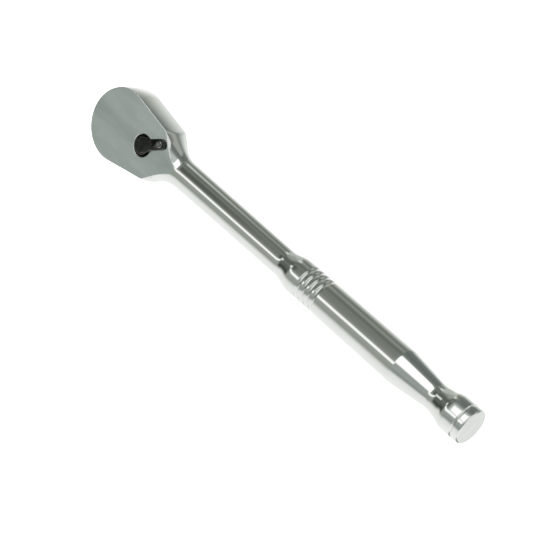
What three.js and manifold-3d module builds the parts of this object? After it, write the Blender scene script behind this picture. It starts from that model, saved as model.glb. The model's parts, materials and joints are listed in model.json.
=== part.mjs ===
// A 3/8 inch pear-head ratchet wrench, 216 mm long: one polished forging for head, shank and grip,
// with the drive gear, pawl, reverse lever and cover plate as separate pieces.
// Millimetres. The origin is the centre of the square drive's end face. +Z runs up the drive axis
// to the face that carries the lever, and +X runs along the handle to its knob.
import * as THREE from "three";
import { mergeVertices } from "three/addons/utils/BufferGeometryUtils.js";
import Module from "manifold-3d";

const wasm = await Module();
wasm.setup();

const DEG = Math.PI / 180;

// Head: a pear-shaped plate, round at the nose, with flanks that draw in towards the handle.
const HEAD = { noseRadius: 16, flankAngle: 10.6 * DEG, bottomZ: 11, topZ: 23.6, edgeBreak: 0.25, crown: 0.45 };
const AXIS_Z = (HEAD.bottomZ + HEAD.topZ) / 2; // the handle's axis lies at half the head's height
const PLATE_END_X = 40; // the pear plate runs on inside the neck's flare to here

// Handle, as [x, radius] along its axis.
const NECK = [
  [20.6, 14.9], [22.9, 12.75], [25, 11], [27, 9.5], [29, 8.25], [31, 7.3], [33, 6.62], [34.6, 6.3], [37, 6.22],
];
const SHOULDER = [[96.5, 5.8], [99, 5.98], [101, 6.4], [103, 6.95], [105.5, 7.33], [108, 7.45]];
const REAR = [[163, 7.57], [169, 6.87], [173, 6.41], [176, 6.06], [179, 5.73], [181, 5.58], [182.6, 5.66]];
const FLARE = [[184.3, 5.95], [186, 6.37], [187.2, 6.67], [188.3, 7.05]];
const KNOB = { frontX: 189.7, radius: 7.6, endX: 200, edgeRadius: 0.9, grooveX: 196.3, grooveRadius: 0.5 };
const GRIP_GROOVE = { count: 4, firstX: 111.6, pitch: 2.87, halfWidth: 1, depth: 0.38 };

// Drive gear: toothed wheel, two journals and a 3/8 inch square with a ball that holds a socket.
const GEAR = { teeth: 36, tipRadius: 8.8, rootRadius: 8.05, bottomZ: 13.6, topZ: 20.5 };
const PILOT = { radius: 6, topZ: 22, holeRadius: 6.15, holeTopZ: 22.3 };
const JOURNAL = { radius: 6.8, bottomZ: 10.9 };
const SQUARE = { side: 9.53, cornerRadius: 1.1, chamfer: 0.7 };
const BALL = { radius: 1.95, z: 5, proud: 0.8 };
const BALL_HOLE = { radius: 2.05, depth: 7.6, lipRadius: 1.75, lipDepth: 0.17 };
const SPRING_END_GAP = 0.05;
const DETENT_SPRING = { coilRadius: 1.35, wireRadius: 0.2, turns: 4 };
const DRIVE_SEAL = { z: 12, ringRadius: 6.42, wireRadius: 0.4, grooveHalf: 0.5, grooveFloor: 5.95 };

// Cavity for the mechanism, open to the drive side, and the teardrop plate that closes it.
const CAVITY = { gearRadius: 9.2, leverRadius: 4.2, topZ: 21, recessZ: 13.4 };
const POCKET = [[3, 7.5], [4.9, 8.9], [8.1, 9.1], [10.6, 8], [12.4, 5.4], [13.2, 3]];
const COVER = { topZ: 12.9, noseRadius: 13.4, tailRadius: 4.7, tailX: 20.6, boreRadius: 6.95, play: 0.12 };
const COVER_SEAL = { bottomZ: 12.95, topZ: 13.35 };
const THRUST_WASHER = { bottomZ: 12.95, topZ: 13.5, outerRadius: 8.4, innerRadius: 7 };
const SCREW_PLACES = [[-8.1, 8.1], [-8.1, -8.1], [21.6, 0]];
const SCREW = { headRadius: 2.1, shankRadius: 1.1, bottomZ: 11.1, tipZ: 18, play: 0.1 };
const SCREW_CONE = { rimZ: 11.25, topZ: 12.1 };
const SCREW_RECESS = { lobes: 6, radius: 0.95, lobeDepth: 0.18, topZ: 12 };

// Reverse lever: a hub in a counterbore of the top face, a thumb tab and a shaft behind the pawl.
const LEVER = { x: 15.2, throwAngle: 35 * DEG, hubRadius: 3.8, hubBottomZ: 22.3, hubTopZ: 24.2 };
const COUNTERBORE = { radius: 4.6, floorZ: 22.2, chamfer: 0.35 };
const OUTSIDE_Z = 30; // any height clear above the head
const TAB = { tipX: 10.3, tipRadius: 2.3, bottomZ: 23.85, topZ: 25.2 };
const TAB_ROOT = [[0, 3.1], [2.9, 3], [3.7, 2.68], [4.9, 2.38]]; // the tab flares into the hub
const NUB = { x: 9.9, radius: 1.6, topZ: 25.8 };
const SHAFT = { radius: 2.1, holeRadius: 2.2, bottomZ: 13.3 };
const RING_GROOVE = { radius: 1.6, bottomZ: 20, topZ: 20.8 };
const LEVER_SEAL = { z: 22.65, ringRadius: 2.9, wireRadius: 0.4, grooveHalf: 0.5, grooveTopZ: 23.15 };
const RETAINING_RING = { bottomZ: 20.1, topZ: 20.7, innerRadius: 1.7, outerRadius: 3.4, mouthHalf: 1.1 };

// Pawl: a rocking block with teeth at both ends, on a pin between the gear and the lever's shaft.
const PAWL = { pivotX: 10.55, rock: 4.6 * DEG, bottomZ: 13.7, topZ: 19.8, backRadius: 3.1, reliefRadius: 9.05 };
const PAWL_OUTLINE = [[5.2, 5.6], [6, 7.35], [7.6, 7.9], [9.6, 7.1], [11.4, 4.9], [12.9, 2.6]];
const PAWL_TOOTHLESS = 24 * DEG; // no teeth within this angle of the pawl's middle
const PAWL_PIN = { radius: 0.9, bottomZ: 13.1, topZ: 21.7, play: 0.06 };
const TOOTH_CLEARANCE = 0.12;

// Plunger: slides in a cross hole of the lever's shaft, opposite the tab, and presses on the pawl.
const PLUNGER = { z: 16.8, radius: 0.75, tip: 3, tail: 0.7, holeRadius: 0.85, holeEnd: -1.4 };
const PLUNGER_SPRING = { coilRadius: 0.55, wireRadius: 0.12, turns: 4 };

const metal = (color, roughness) => new THREE.MeshStandardMaterial({ color, roughness, metalness: 1 });
const chrome = metal(0xc9cdc8, 0.12);
const satinSteel = metal(0x9a9c98, 0.35);
const darkSteel = metal(0x4a4a4a, 0.4);
const blackOxide = metal(0x1c1d1c, 0.38);
const springSteel = metal(0x8b8d90, 0.3);
const rubber = new THREE.MeshStandardMaterial({ color: 0x161616, roughness: 0.85, metalness: 0 });

// ---- from three.js geometry to solids and back --------------------------------------------------

function solid(geometry) {
  const bare = geometry.index ? geometry.toNonIndexed() : geometry.clone();
  bare.deleteAttribute("normal");
  bare.deleteAttribute("uv");
  const merged = mergeVertices(bare, 1e-4);
  const vertProperties = merged.attributes.position.array;
  const triVerts = new Uint32Array(merged.index.array);
  return new wasm.Manifold(new wasm.Mesh({ numProp: 3, vertProperties, triVerts }));
}

function meshOf(name, body, material) {
  const { vertProperties, triVerts } = body.getMesh();
  const geometry = new THREE.BufferGeometry();
  geometry.setAttribute("position", new THREE.BufferAttribute(new Float32Array(vertProperties), 3));
  geometry.setIndex(new THREE.BufferAttribute(new Uint32Array(triVerts), 1));
  geometry.computeVertexNormals();
  const mesh = new THREE.Mesh(geometry, material);
  mesh.name = name;
  return mesh;
}

const join = (bodies) => bodies.reduce((all, next) => all.add(next));
const turnZ = (body, x, angle) => body.translate([-x, 0, 0]).rotate([0, 0, angle / DEG]).translate([x, 0, 0]);

// ---- outlines and basic shapes ------------------------------------------------------------------

function arc(cx, cy, radius, from, to, steps) {
  const points = [];
  for (let i = 0; i <= steps; i += 1) {
    const angle = from + ((to - from) * i) / steps;
    points.push(new THREE.Vector2(cx + radius * Math.cos(angle), cy + radius * Math.sin(angle)));
  }
  return points;
}

const circle = (cx, cy, radius, steps) => arc(cx, cy, radius, 0, 2 * Math.PI, steps).slice(0, -1);

// Half an outline as [x, y] points above the X axis, completed by its mirror image below.
function mirrored(half) {
  const upper = half.map(([x, y]) => new THREE.Vector2(x, y));
  const lower = half.map(([x, y]) => new THREE.Vector2(x, -y)).reverse();
  return [...lower, ...upper];
}

function prism(outline, bottomZ, topZ) {
  const depth = topZ - bottomZ;
  const geometry = new THREE.ExtrudeGeometry(new THREE.Shape(outline), { depth, bevelEnabled: false });
  return solid(geometry.translate(0, 0, bottomZ));
}

// A body through outlines of equal point count, given as [outline, z] from the bottom up.
function loft(layers) {
  const count = layers[0][0].length;
  const positions = layers.flatMap(([outline, z]) => outline.flatMap((p) => [p.x, p.y, z]));
  const faces = [];
  const top = count * (layers.length - 1);
  THREE.ShapeUtils.triangulateShape(layers[0][0], []).forEach(([a, b, c]) => {
    faces.push(c, b, a, a + top, b + top, c + top);
  });
  for (let start = 0; start < top; start += count) {
    for (let i = 0; i < count; i += 1) {
      const here = start + i;
      const next = start + ((i + 1) % count);
      faces.push(here, next, next + count, here, next + count, here + count);
    }
  }
  const geometry = new THREE.BufferGeometry();
  geometry.setAttribute("position", new THREE.Float32BufferAttribute(positions, 3));
  geometry.setIndex(faces);
  return solid(geometry);
}

// A body of revolution about Z, from [radius, z] points that start and end on the axis.
function turned(profile, steps) {
  const points = profile.map(([radius, z]) => new THREE.Vector2(radius, z));
  return solid(new THREE.LatheGeometry(points, steps).rotateX(Math.PI / 2));
}

function cylinder(x, y, radius, bottomZ, topZ, steps = 28) {
  return turned([[0, bottomZ], [radius, bottomZ], [radius, topZ], [0, topZ]], steps).translate([x, y, 0]);
}

function washer(innerRadius, outerRadius, bottomZ, topZ, steps = 36) {
  const hole = cylinder(0, 0, innerRadius, bottomZ - 1, topZ + 1, steps);
  return cylinder(0, 0, outerRadius, bottomZ, topZ, steps).subtract(hole);
}

function ringSeal(ringRadius, wireRadius, z) {
  const section = circle(ringRadius, 0, wireRadius, 6);
  section.push(section[0].clone());
  return solid(new THREE.LatheGeometry(section, 30).rotateX(Math.PI / 2)).translate([0, 0, z]);
}

// A coil spring round the Z axis.
function coil(coilRadius, wireRadius, bottomZ, topZ, turns) {
  const steps = turns * 10;
  const points = [];
  for (let i = 0; i <= steps; i += 1) {
    const angle = (2 * Math.PI * turns * i) / steps;
    const z = bottomZ + wireRadius + ((topZ - bottomZ - 2 * wireRadius) * i) / steps;
    points.push(new THREE.Vector3(coilRadius * Math.cos(angle), coilRadius * Math.sin(angle), z));
  }
  const section = new THREE.Shape(circle(0, 0, wireRadius, 6));
  const extrudePath = new THREE.CatmullRomCurve3(points);
  return solid(new THREE.ExtrudeGeometry(section, { steps, extrudePath, bevelEnabled: false }));
}

// The pear outline: a nose arc, then straight flanks that run on to the plate's end.
function pearOutline(noseRadius) {
  const tangent = Math.PI / 2 - HEAD.flankAngle;
  const endY = (noseRadius - PLATE_END_X * Math.sin(HEAD.flankAngle)) / Math.cos(HEAD.flankAngle);
  const nose = arc(0, 0, noseRadius, tangent, 2 * Math.PI - tangent, 48);
  return [...nose, new THREE.Vector2(PLATE_END_X, -endY), new THREE.Vector2(PLATE_END_X, endY)];
}

// The teardrop outline of cover plate, seal and recess: two arcs joined by their common tangents.
function teardrop(inset) {
  const tangent = Math.acos((COVER.noseRadius - COVER.tailRadius) / COVER.tailX);
  const nose = arc(0, 0, COVER.noseRadius - inset, tangent, 2 * Math.PI - tangent, 36);
  const tail = arc(COVER.tailX, 0, COVER.tailRadius - inset, -tangent, tangent, 14);
  return [...nose, ...tail];
}

// ---- handle -------------------------------------------------------------------------------------

function gripRadius(x) {
  const [startX, startRadius] = SHOULDER.at(-1);
  const [endX, endRadius] = REAR[0];
  return startRadius + ((endRadius - startRadius) * (x - startX)) / (endX - startX);
}

// Four shallow round-bottomed finger grooves at the front of the grip.
function gripGrooves() {
  const stops = [];
  for (let i = 0; i < GRIP_GROOVE.count; i += 1) {
    const middleX = GRIP_GROOVE.firstX + i * GRIP_GROOVE.pitch;
    [-1, -0.55, 0, 0.55, 1].forEach((part) => {
      const x = middleX + part * GRIP_GROOVE.halfWidth;
      stops.push([x, gripRadius(x) - GRIP_GROOVE.depth * (1 - part * part)]);
    });
  }
  return stops;
}

function knobStops() {
  const { frontX, radius, endX, edgeRadius, grooveX, grooveRadius } = KNOB;
  const groove = [-1, 0, 1].map((side) => {
    return [grooveX + side * grooveRadius, radius - grooveRadius * (1 - Math.abs(side))];
  });
  const edge = [0, 30, 60, 90].map((angle) => {
    const x = endX - edgeRadius * (1 - Math.sin(angle * DEG));
    return [x, radius - edgeRadius * (1 - Math.cos(angle * DEG))];
  });
  return [[frontX, radius], ...groove, ...edge];
}

// Neck, shank, grip and knob as one turned body along +X.
function handleBar() {
  const stops = [...NECK, ...SHOULDER, ...gripGrooves(), ...REAR, ...FLARE, ...knobStops()];
  const profile = [[0, NECK[0][0]], ...stops.map(([x, radius]) => [radius, x]), [0, KNOB.endX]];
  return turned(profile, 44).rotate([0, 90, 0]).translate([0, 0, AXIS_Z]);
}

// The flat-faced pear plate: its side swells towards mid-height, and its edges are just broken.
function pearPlate() {
  const { noseRadius, bottomZ, topZ, edgeBreak, crown } = HEAD;
  const halfWall = (topZ - bottomZ) / 2 - edgeBreak;
  const side = [-1, -0.85, -0.6, 0, 0.6, 0.85, 1].map((part) => {
    return [pearOutline(noseRadius - crown * part ** 4), AXIS_Z + part * halfWall];
  });
  const face = pearOutline(noseRadius - crown - edgeBreak);
  return loft([[face, bottomZ], ...side, [face, topZ]]);
}

// The mechanism's cavity as seen from the drive side, between the given heights.
function cavityShape(bottomZ, topZ) {
  const gearBore = cylinder(0, 0, CAVITY.gearRadius, bottomZ, topZ, 48);
  const pawlPocket = prism(mirrored(POCKET), bottomZ, topZ);
  const leverPocket = cylinder(LEVER.x, 0, CAVITY.leverRadius, bottomZ, topZ);
  return join([gearBore, pawlPocket, leverPocket]);
}

function counterbore() {
  const { radius, floorZ, chamfer } = COUNTERBORE;
  const mouth = radius + chamfer;
  const wall = [[radius, floorZ], [radius, HEAD.topZ - chamfer], [mouth, HEAD.topZ], [mouth, OUTSIDE_Z]];
  return turned([[0, floorZ], ...wall, [0, OUTSIDE_Z]], 40).translate([LEVER.x, 0, 0]);
}

function forging() {
  // The plate is cut to the neck's flare, so its faces end in a point where they meet the shank.
  const noseBlock = new THREE.BoxGeometry(60, 60, 60).translate(NECK[0][0] - 29.7, 0, AXIS_Z);
  const rearBlock = new THREE.BoxGeometry(200, 60, 60).translate(PLATE_END_X + 99, 0, AXIS_Z);
  const envelope = pearPlate().add(solid(rearBlock));
  const blank = handleBar().add(solid(noseBlock)).intersect(envelope);
  const cuts = [
    prism(teardrop(-COVER.play), HEAD.bottomZ - 1, CAVITY.recessZ),
    cavityShape(HEAD.bottomZ - 1, CAVITY.topZ),
    cylinder(0, 0, PILOT.holeRadius, CAVITY.topZ - 1, PILOT.holeTopZ, 36),
    cylinder(LEVER.x, 0, SHAFT.holeRadius, CAVITY.topZ - 1, COUNTERBORE.floorZ + 1),
    cylinder(PAWL.pivotX, 0, PAWL_PIN.radius + PAWL_PIN.play, CAVITY.topZ - 1, PAWL_PIN.topZ + 0.1, 20),
    counterbore(),
    ...SCREW_PLACES.map((place) => screwHole(place, SCREW.tipZ + 0.3)),
  ];
  return blank.subtract(join(cuts));
}

// ---- cover plate and its fasteners --------------------------------------------------------------

function screwHole([x, y], topZ = CAVITY.recessZ + 1) {
  return cylinder(x, y, SCREW.shankRadius + SCREW.play, HEAD.bottomZ - 1, topZ, 20);
}

// The cone under a screw's head, as the [radius, z] of its wide and its narrow end.
function headCone(play) {
  return [[SCREW.headRadius + play, SCREW_CONE.rimZ], [SCREW.shankRadius + play, SCREW_CONE.topZ]];
}

function coverPlate() {
  const below = HEAD.bottomZ - 1;
  const bore = cylinder(0, 0, COVER.boreRadius, below, COVER.topZ + 1, 44);
  const [wide, narrow] = headCone(SCREW.play);
  const sink = turned([[0, below], [wide[0], below], wide, narrow, [0, narrow[1]]], 28);
  const sinks = SCREW_PLACES.map(([x, y]) => sink.translate([x, y, 0]));
  const cuts = join([bore, ...sinks, ...SCREW_PLACES.map((place) => screwHole(place))]);
  return prism(teardrop(0), HEAD.bottomZ, COVER.topZ).subtract(cuts);
}

function coverSeal() {
  const sheet = prism(teardrop(0.1), COVER_SEAL.bottomZ, COVER_SEAL.topZ);
  const cavity = cavityShape(HEAD.bottomZ, CAVITY.recessZ + 1);
  const cuts = join([cavity, ...SCREW_PLACES.map((place) => screwHole(place))]);
  return sheet.subtract(cuts);
}

// A flat-head screw with a six-lobed recess, its plain shank standing for the thread.
function coverScrew(x, y) {
  const { lobes, radius, lobeDepth, topZ } = SCREW_RECESS;
  const { headRadius, shankRadius, bottomZ, tipZ } = SCREW;
  const point = [[shankRadius, tipZ - 0.4], [shankRadius - 0.4, tipZ], [0, tipZ]];
  const body = turned([[0, bottomZ], [headRadius, bottomZ], ...headCone(0), ...point], 28);
  const recess = circle(0, 0, 1, lobes * 4).map((p) => {
    return p.multiplyScalar(radius + lobeDepth * Math.cos(lobes * p.angle()));
  });
  return body.subtract(prism(recess, bottomZ - 1, topZ)).translate([x, y, 0]);
}

// ---- drive gear ---------------------------------------------------------------------------------

// The toothed wheel's outline, grown by a clearance, with a tooth space on the +X axis.
function gearOutline(clearance) {
  const pitch = (2 * Math.PI) / GEAR.teeth;
  const tip = GEAR.tipRadius + clearance;
  const root = GEAR.rootRadius + clearance;
  const points = [];
  for (let i = 0; i < GEAR.teeth; i += 1) {
    const middle = (i + 0.5) * pitch;
    const tipHalf = 0.1 * pitch + clearance / tip;
    const rootHalf = 0.42 * pitch + clearance / root / 2;
    [[root, -rootHalf], [tip, -tipHalf], [tip, tipHalf], [root, rootHalf]].forEach(([radius, angle]) => {
      points.push(new THREE.Vector2(radius * Math.cos(middle + angle), radius * Math.sin(middle + angle)));
    });
  }
  return points;
}

// Turns a body that stands on Z so that it points along +Y.
const layAlongY = (body) => body.rotate([-90, 0, 0]);

function squareOutline(inset) {
  const half = SQUARE.side / 2 - inset;
  const radius = SQUARE.cornerRadius;
  return [0, 1, 2, 3].flatMap((quarter) => {
    const turn = (quarter * Math.PI) / 2;
    const corner = new THREE.Vector2(half - radius, half - radius).rotateAround(new THREE.Vector2(), turn);
    return arc(corner.x, corner.y, radius, turn, turn + Math.PI / 2, 4);
  });
}

// The hole for the detent ball, opening on the square's +Y side, with a lip that holds the ball in.
function ballHole() {
  const { radius, depth, lipRadius, lipDepth } = BALL_HOLE;
  const lipStart = depth - lipDepth;
  const mouth = depth + 1;
  const wall = [[radius, 0], [radius, lipStart], [lipRadius, lipStart], [lipRadius, mouth]];
  return layAlongY(turned([[0, 0], ...wall, [0, mouth]], 28)).translate([0, SQUARE.side / 2 - depth, BALL.z]);
}

function driveGear() {
  const { z, grooveHalf, grooveFloor } = DRIVE_SEAL;
  const wheel = prism(gearOutline(0), GEAR.bottomZ, GEAR.topZ);
  const pilot = cylinder(0, 0, PILOT.radius, GEAR.topZ - 0.5, PILOT.topZ, 36);
  const journal = cylinder(0, 0, JOURNAL.radius, JOURNAL.bottomZ, GEAR.bottomZ + 0.5, 44);
  const square = loft([
    [squareOutline(SQUARE.chamfer), 0],
    [squareOutline(0), SQUARE.chamfer],
    [squareOutline(0), JOURNAL.bottomZ + 0.5],
  ]);
  const sealGroove = washer(grooveFloor, JOURNAL.radius + 1, z - grooveHalf, z + grooveHalf);
  return join([wheel, pilot, journal, square]).subtract(sealGroove).subtract(ballHole());
}

const ballCentreY = SQUARE.side / 2 - BALL.radius + BALL.proud;

function detentBall() {
  return solid(new THREE.SphereGeometry(BALL.radius, 20, 12)).translate([0, ballCentreY, BALL.z]);
}

function detentSpring() {
  const { coilRadius, wireRadius, turns } = DETENT_SPRING;
  const start = SQUARE.side / 2 - BALL_HOLE.depth + SPRING_END_GAP;
  const end = ballCentreY - BALL.radius - SPRING_END_GAP;
  return layAlongY(coil(coilRadius, wireRadius, start, end, turns)).translate([0, 0, BALL.z]);
}

// ---- pawl ---------------------------------------------------------------------------------------

// The pawl as it stands at rest, with its -Y end in the gear's teeth.
function pawl() {
  const { pivotX, rock, bottomZ, topZ, backRadius, reliefRadius } = PAWL;
  const upright = (body) => turnZ(body, pivotX, -rock);
  const block = prism(mirrored(PAWL_OUTLINE), bottomZ, topZ);
  const gearSpace = prism(gearOutline(TOOTH_CLEARANCE), bottomZ - 1, topZ + 1);
  const sector = [new THREE.Vector2(0, 0), ...arc(0, 0, reliefRadius, -PAWL_TOOTHLESS, PAWL_TOOTHLESS, 12)];
  const relief = prism(sector, bottomZ - 1, topZ + 1);
  const pinHole = cylinder(pivotX, 0, PAWL_PIN.radius + PAWL_PIN.play, bottomZ - 1, topZ + 1, 20);
  const leverSpace = cylinder(LEVER.x, 0, backRadius + 0.1, bottomZ - 1, topZ + 1, 36);
  const body = upright(block.subtract(join([relief, pinHole, leverSpace])));
  const otherThrow = turnZ(gearSpace, pivotX, -2 * rock);
  return body.subtract(gearSpace).subtract(otherThrow);
}

// ---- reverse lever ------------------------------------------------------------------------------

// Everything on the lever is made about its own axis with the tab along +X, then set to its throw.
const atLever = (body, angle = LEVER.throwAngle) => body.rotate([0, 0, angle / DEG]).translate([LEVER.x, 0, 0]);

// A body made standing on Z, laid along the lever's -X direction from the shaft's axis.
const alongPlunger = (body) => body.rotate([0, -90, 0]).translate([0, 0, PLUNGER.z]);

function thumbTab() {
  const { tipX, tipRadius, bottomZ, topZ } = TAB;
  const tip = arc(tipX, 0, tipRadius, 80 * DEG, 6 * DEG, 6).map(({ x, y }) => [x, y]);
  const outline = mirrored([...TAB_ROOT, ...tip]);
  const dome = [[NUB.radius + 0.3, bottomZ], [NUB.radius, NUB.topZ - 0.4], [NUB.radius - 0.5, NUB.topZ]];
  const nub = turned([[0, bottomZ], ...dome, [0, NUB.topZ]], 20);
  return prism(outline, bottomZ, topZ).add(nub.translate([NUB.x, 0, 0]));
}

function reverseLever() {
  const { hubRadius, hubBottomZ, hubTopZ } = LEVER;
  const { radius, bottomZ } = SHAFT;
  const { ringRadius, grooveHalf, grooveTopZ } = LEVER_SEAL;
  const shaft = [[0, bottomZ], [radius, bottomZ], [radius, RING_GROOVE.bottomZ]];
  const ringGroove = [[RING_GROOVE.radius, RING_GROOVE.bottomZ], [RING_GROOVE.radius, RING_GROOVE.topZ]];
  const neck = [[radius, RING_GROOVE.topZ], [radius, hubBottomZ]];
  const hub = [[hubRadius, hubBottomZ], [hubRadius, hubTopZ - 0.3], [hubRadius - 0.3, hubTopZ], [0, hubTopZ]];
  const spindle = turned([...shaft, ...ringGroove, ...neck, ...hub], 40);
  const sealGroove = washer(ringRadius - grooveHalf, ringRadius + grooveHalf, hubBottomZ - 1, grooveTopZ);
  const crossHole = alongPlunger(cylinder(0, 0, PLUNGER.holeRadius, PLUNGER.holeEnd, radius + 1, 20));
  return atLever(spindle.add(thumbTab()).subtract(sealGroove).subtract(crossHole));
}

function retainingRing() {
  const { innerRadius, outerRadius, bottomZ, topZ, mouthHalf } = RETAINING_RING;
  const mouth = new THREE.BoxGeometry(outerRadius * 2, mouthHalf * 2, 4).translate(outerRadius, 0, topZ);
  return atLever(washer(innerRadius, outerRadius, bottomZ, topZ).subtract(solid(mouth)), 0);
}

function plunger() {
  const { radius, tip, tail } = PLUNGER;
  const dome = [0, 30, 60].map((angle) => {
    return [radius * Math.cos(angle * DEG), tip - radius + radius * Math.sin(angle * DEG)];
  });
  return atLever(alongPlunger(turned([[0, tail], [radius, tail], ...dome, [0, tip]], 20)));
}

function plungerSpring() {
  const { holeEnd, tail } = PLUNGER;
  const { coilRadius, wireRadius, turns } = PLUNGER_SPRING;
  const spring = coil(coilRadius, wireRadius, holeEnd + SPRING_END_GAP, tail - SPRING_END_GAP, turns);
  return atLever(alongPlunger(spring));
}

// ---- the wrench ---------------------------------------------------------------------------------

const wrench = new THREE.Group();
const thrustWasher = () =>
  washer(THRUST_WASHER.innerRadius, THRUST_WASHER.outerRadius, THRUST_WASHER.bottomZ, THRUST_WASHER.topZ);
const pawlPin = () => cylinder(PAWL.pivotX, 0, PAWL_PIN.radius, PAWL_PIN.bottomZ, PAWL_PIN.topZ, 20);
const driveSeal = () => ringSeal(DRIVE_SEAL.ringRadius, DRIVE_SEAL.wireRadius, DRIVE_SEAL.z);
const leverSeal = () => atLever(ringSeal(LEVER_SEAL.ringRadius, LEVER_SEAL.wireRadius, LEVER_SEAL.z));

wrench.add(
  meshOf("handle_forging", forging(), chrome),
  meshOf("cover_plate", coverPlate(), satinSteel),
  meshOf("cover_seal", coverSeal(), rubber),
  ...SCREW_PLACES.map(([x, y], i) => meshOf(`cover_screw_${i + 1}`, coverScrew(x, y), blackOxide)),
  meshOf("drive_gear", driveGear(), satinSteel),
  meshOf("drive_seal", driveSeal(), rubber),
  meshOf("thrust_washer", thrustWasher(), springSteel),
  meshOf("detent_ball", detentBall(), springSteel),
  meshOf("detent_spring", detentSpring(), springSteel),
  meshOf("pawl", pawl(), darkSteel),
  meshOf("pawl_pin", pawlPin(), springSteel),
  meshOf("reverse_lever", reverseLever(), blackOxide),
  meshOf("lever_seal", leverSeal(), rubber),
  meshOf("lever_retaining_ring", retainingRing(), springSteel),
  meshOf("plunger", plunger(), springSteel),
  meshOf("plunger_spring", plungerSpring(), springSteel),
);

export default wrench;
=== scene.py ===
"""Looks of a pear-head ratchet wrench with a 3/8 inch drive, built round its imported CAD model.

Lengths in the shape sections are millimetres, as on the drawing, and MM turns them into metres.
The head lies flat with its drive axis on Z, and the handle runs along +X.
"""
import json
import math

import bmesh
import bpy
import numpy as np
from mathutils import Matrix, Vector


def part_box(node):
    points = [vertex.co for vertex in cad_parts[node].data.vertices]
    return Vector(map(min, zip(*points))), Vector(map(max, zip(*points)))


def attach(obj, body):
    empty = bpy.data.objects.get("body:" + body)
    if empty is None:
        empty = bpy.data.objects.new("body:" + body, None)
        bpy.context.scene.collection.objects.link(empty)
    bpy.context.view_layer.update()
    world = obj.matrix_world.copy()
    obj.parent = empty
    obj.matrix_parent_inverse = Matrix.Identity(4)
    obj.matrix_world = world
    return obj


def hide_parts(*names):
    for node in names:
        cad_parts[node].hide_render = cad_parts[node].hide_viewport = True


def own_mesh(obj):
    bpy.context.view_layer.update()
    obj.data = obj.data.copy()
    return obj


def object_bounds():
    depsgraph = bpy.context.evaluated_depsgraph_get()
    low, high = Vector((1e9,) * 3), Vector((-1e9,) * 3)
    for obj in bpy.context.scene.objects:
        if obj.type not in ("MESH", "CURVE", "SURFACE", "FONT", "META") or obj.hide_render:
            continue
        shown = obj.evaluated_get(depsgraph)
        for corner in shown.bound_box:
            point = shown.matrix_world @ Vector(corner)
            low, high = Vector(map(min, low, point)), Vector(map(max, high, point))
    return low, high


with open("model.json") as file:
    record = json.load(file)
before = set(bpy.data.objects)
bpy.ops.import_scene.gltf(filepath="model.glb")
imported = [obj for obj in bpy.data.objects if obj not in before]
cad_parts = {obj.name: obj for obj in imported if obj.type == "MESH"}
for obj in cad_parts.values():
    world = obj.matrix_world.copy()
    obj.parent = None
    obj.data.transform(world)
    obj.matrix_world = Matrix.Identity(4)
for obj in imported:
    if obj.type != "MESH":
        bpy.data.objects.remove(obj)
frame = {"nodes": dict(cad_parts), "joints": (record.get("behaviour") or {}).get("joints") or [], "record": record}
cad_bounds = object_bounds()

MM = 0.001

# ---- driving dimensions, from the frame where it has them ---------------------------------------


def corners(node):
    """A CAD node's lowest and highest corner, in millimetres."""
    low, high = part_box(node)
    return np.array(low) / MM, np.array(high) / MM


joints = {joint["name"]: joint for joint in frame["joints"]}
forging_low, forging_high = corners("handle_forging")
gear_high = corners("drive_gear")[1]
plate_low, plate_high = corners("cover_plate")
lever_low, lever_high = corners("reverse_lever")
ball_low, ball_high = corners("detent_ball")

NOSE_RADIUS = -forging_low[0]
END_X = forging_high[0]
BOTTOM_Z = plate_low[2]
TOP_Z = joints["lever_turn"]["pos_m"][2] / MM
AXIS_Z = (BOTTOM_Z + TOP_Z) / 2
HALF_HEIGHT = (TOP_Z - BOTTOM_Z) / 2
FLANK_ANGLE = math.radians(10.6)
SIDE_CROWN = 0.45  # how far the side wall swells from the faces' edges to mid-height
FACE_EDGE = 0.25  # rounding of the edges round the two flat faces
NECK_EDGE = 0.35  # rounding of the crease between the flanks and the neck

# The handle's outline: (x, radius, rounding) of each corner between the head and the knob's end.
KNOB_RADIUS = 7.6
HANDLE_CORNERS = [
    (0.0, 31.8, 0), (30.8, 6.2, 17), (98.8, 5.8, 15), (104.4, 7.43, 16), (163.6, 7.62, 4),
    (178.2, 5.93, 45), (182.0, 5.5, 14), (187.2, 6.65, 10), (189.8, KNOB_RADIUS, 0.6),
    (END_X, KNOB_RADIUS, 0.95), (END_X, 0, 0),
]
LAST_LEVEL_X = END_X - 1.2  # the rounding of the knob's end starts past here
GRIP_GROOVES = [(111.6 + 2.87 * i, 1.0, 0.38) for i in range(4)]  # (x, half width, depth)
KNOB_GROOVE = (196.3, 0.55, 0.5)
GROOVE_LIP = 0.04  # softness of the grooves' lips
GROOVE_SPAN = 1.4  # a groove and its lips are divided finely over this many half widths
HEAD_END_X = 46.0  # the head's sections run on to here, past the tips of the flat faces
ROUND_FROM_X, ROUND_TO_X = 36.0, 45.0  # where their points even out to those of a round bar

LEVER_X = joints["lever_turn"]["pos_m"][0] / MM
LEVER_THROW = math.radians(35)
HUB = {"radius": 3.8, "bottom": 22.3, "top": 24.2, "edge": 0.35}
TAB = {"tip_x": 10.3, "tip_radius": 2.3, "bottom": 23.85, "top": 25.2, "edge": 0.5}
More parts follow.
